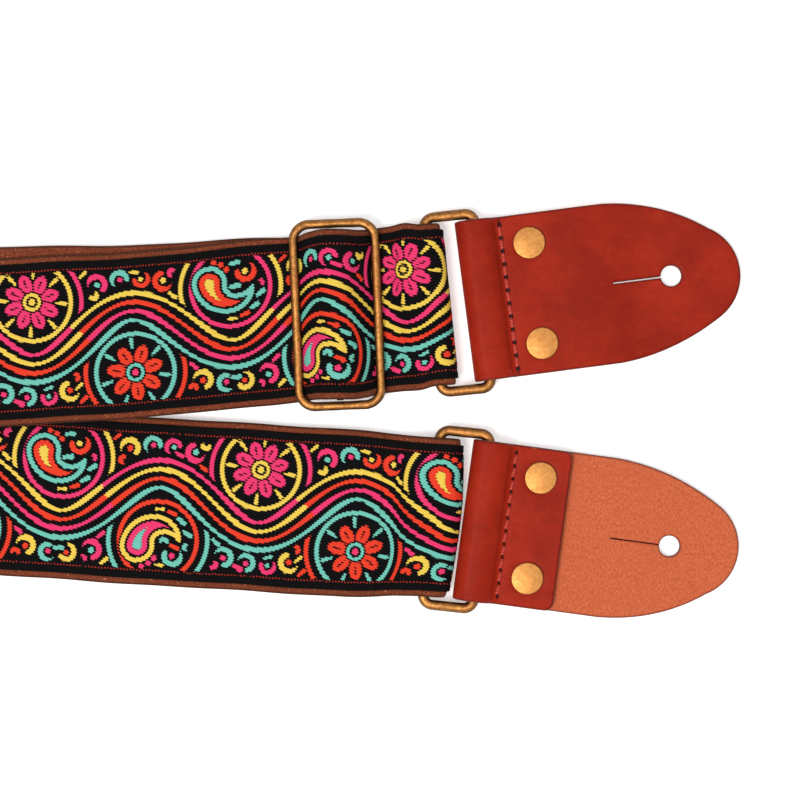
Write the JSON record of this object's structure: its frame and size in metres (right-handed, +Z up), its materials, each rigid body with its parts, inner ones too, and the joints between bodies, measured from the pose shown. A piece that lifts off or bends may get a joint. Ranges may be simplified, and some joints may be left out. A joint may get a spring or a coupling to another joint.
{
  "type": "guitar strap",
  "caption": "Woven guitar strap folded in half: patterned ribbon on brown webbing, a wire slider, wire rings and leather ends with button holes.",
  "frame": {"origin": "centre of the footprint, on the surface the strap lies on", "axes": "+X along the folded strap from the fold to the leather ends, +Z up from the table"},
  "size_m": [0.8366, 0.1264, 0.014],
  "materials": {
    "webbing": "velvety brown cotton webbing",
    "ribbon": "black jacquard ribbon with pink, coral, mint and yellow figures",
    "leather": "smooth red-brown grain side, suede back",
    "brass": "antique brass",
    "thread": "coral red thread"
  },
  "bodies": {
    "strap": {"webbing_tail": "webbing", "ribbon_tail": "ribbon", "webbing_loop_a": "webbing", "ribbon_loop_a": "ribbon", "webbing_run_a": "webbing", "ribbon_run_a": "ribbon", "webbing_fold": "webbing", "ribbon_fold": "ribbon", "webbing_run_b": "webbing", "ribbon_run_b": "ribbon", "webbing_loop_b": "webbing", "ribbon_loop_b": "ribbon", "webbing_foldback": "webbing", "ribbon_foldback": "ribbon", "box_seam": "thread"},
    "slider": {"slider_frame": "brass", "slider_middle_bar": "brass", "webbing_slider_main": "webbing", "ribbon_slider_main": "ribbon", "webbing_slider_tail": "webbing", "ribbon_slider_tail": "ribbon"},
    "ring_a": {"ring_a": "brass"},
    "end_a": {"leather_a": "leather", "leather_thread_a": "thread", "rivet_cap_a_upper": "brass", "rivet_base_a_upper": "brass", "rivet_cap_a_lower": "brass", "rivet_base_a_lower": "brass"},
    "ring_b": {"ring_b": "brass"},
    "end_b": {"leather_b": "leather", "leather_thread_b": "thread", "rivet_cap_b_upper": "brass", "rivet_base_b_upper": "brass", "rivet_cap_b_lower": "brass", "rivet_base_b_lower": "brass"}
  },
  "joints": [
    {"name": "slider_slide", "type": "slide", "parent": "strap", "child": "slider", "axis": [-0.9947, -0.1032, 0], "range_m": [-0.004, 0.03], "deforming": ["webbing_run_a", "ribbon_run_a", "webbing_tail", "ribbon_tail", "webbing_loop_a", "ribbon_loop_a"]},
    {"name": "ring_a_swing", "type": "hinge", "parent": "strap", "child": "ring_a", "pos_m": [0.32415, 0.03204, 0.0044], "axis": [0.1028, -0.9947, 0], "range_deg": [-75, 75]},
    {"name": "end_a_swing", "type": "hinge", "parent": "ring_a", "child": "end_a", "pos_m": [0.33947, 0.03362, 0.0044], "axis": [0.1028, -0.9947, 0], "range_deg": [-75, 75]},
    {"name": "ring_b_swing", "type": "hinge", "parent": "strap", "child": "ring_b", "pos_m": [0.32385, -0.03223, 0.0044], "axis": [-0.1045, -0.9945, 0], "range_deg": [-75, 75]},
    {"name": "end_b_swing", "type": "hinge", "parent": "ring_b", "child": "end_b", "pos_m": [0.33917, -0.03383, 0.0044], "axis": [-0.1045, -0.9945, 0], "range_deg": [-75, 75]}
  ]
}
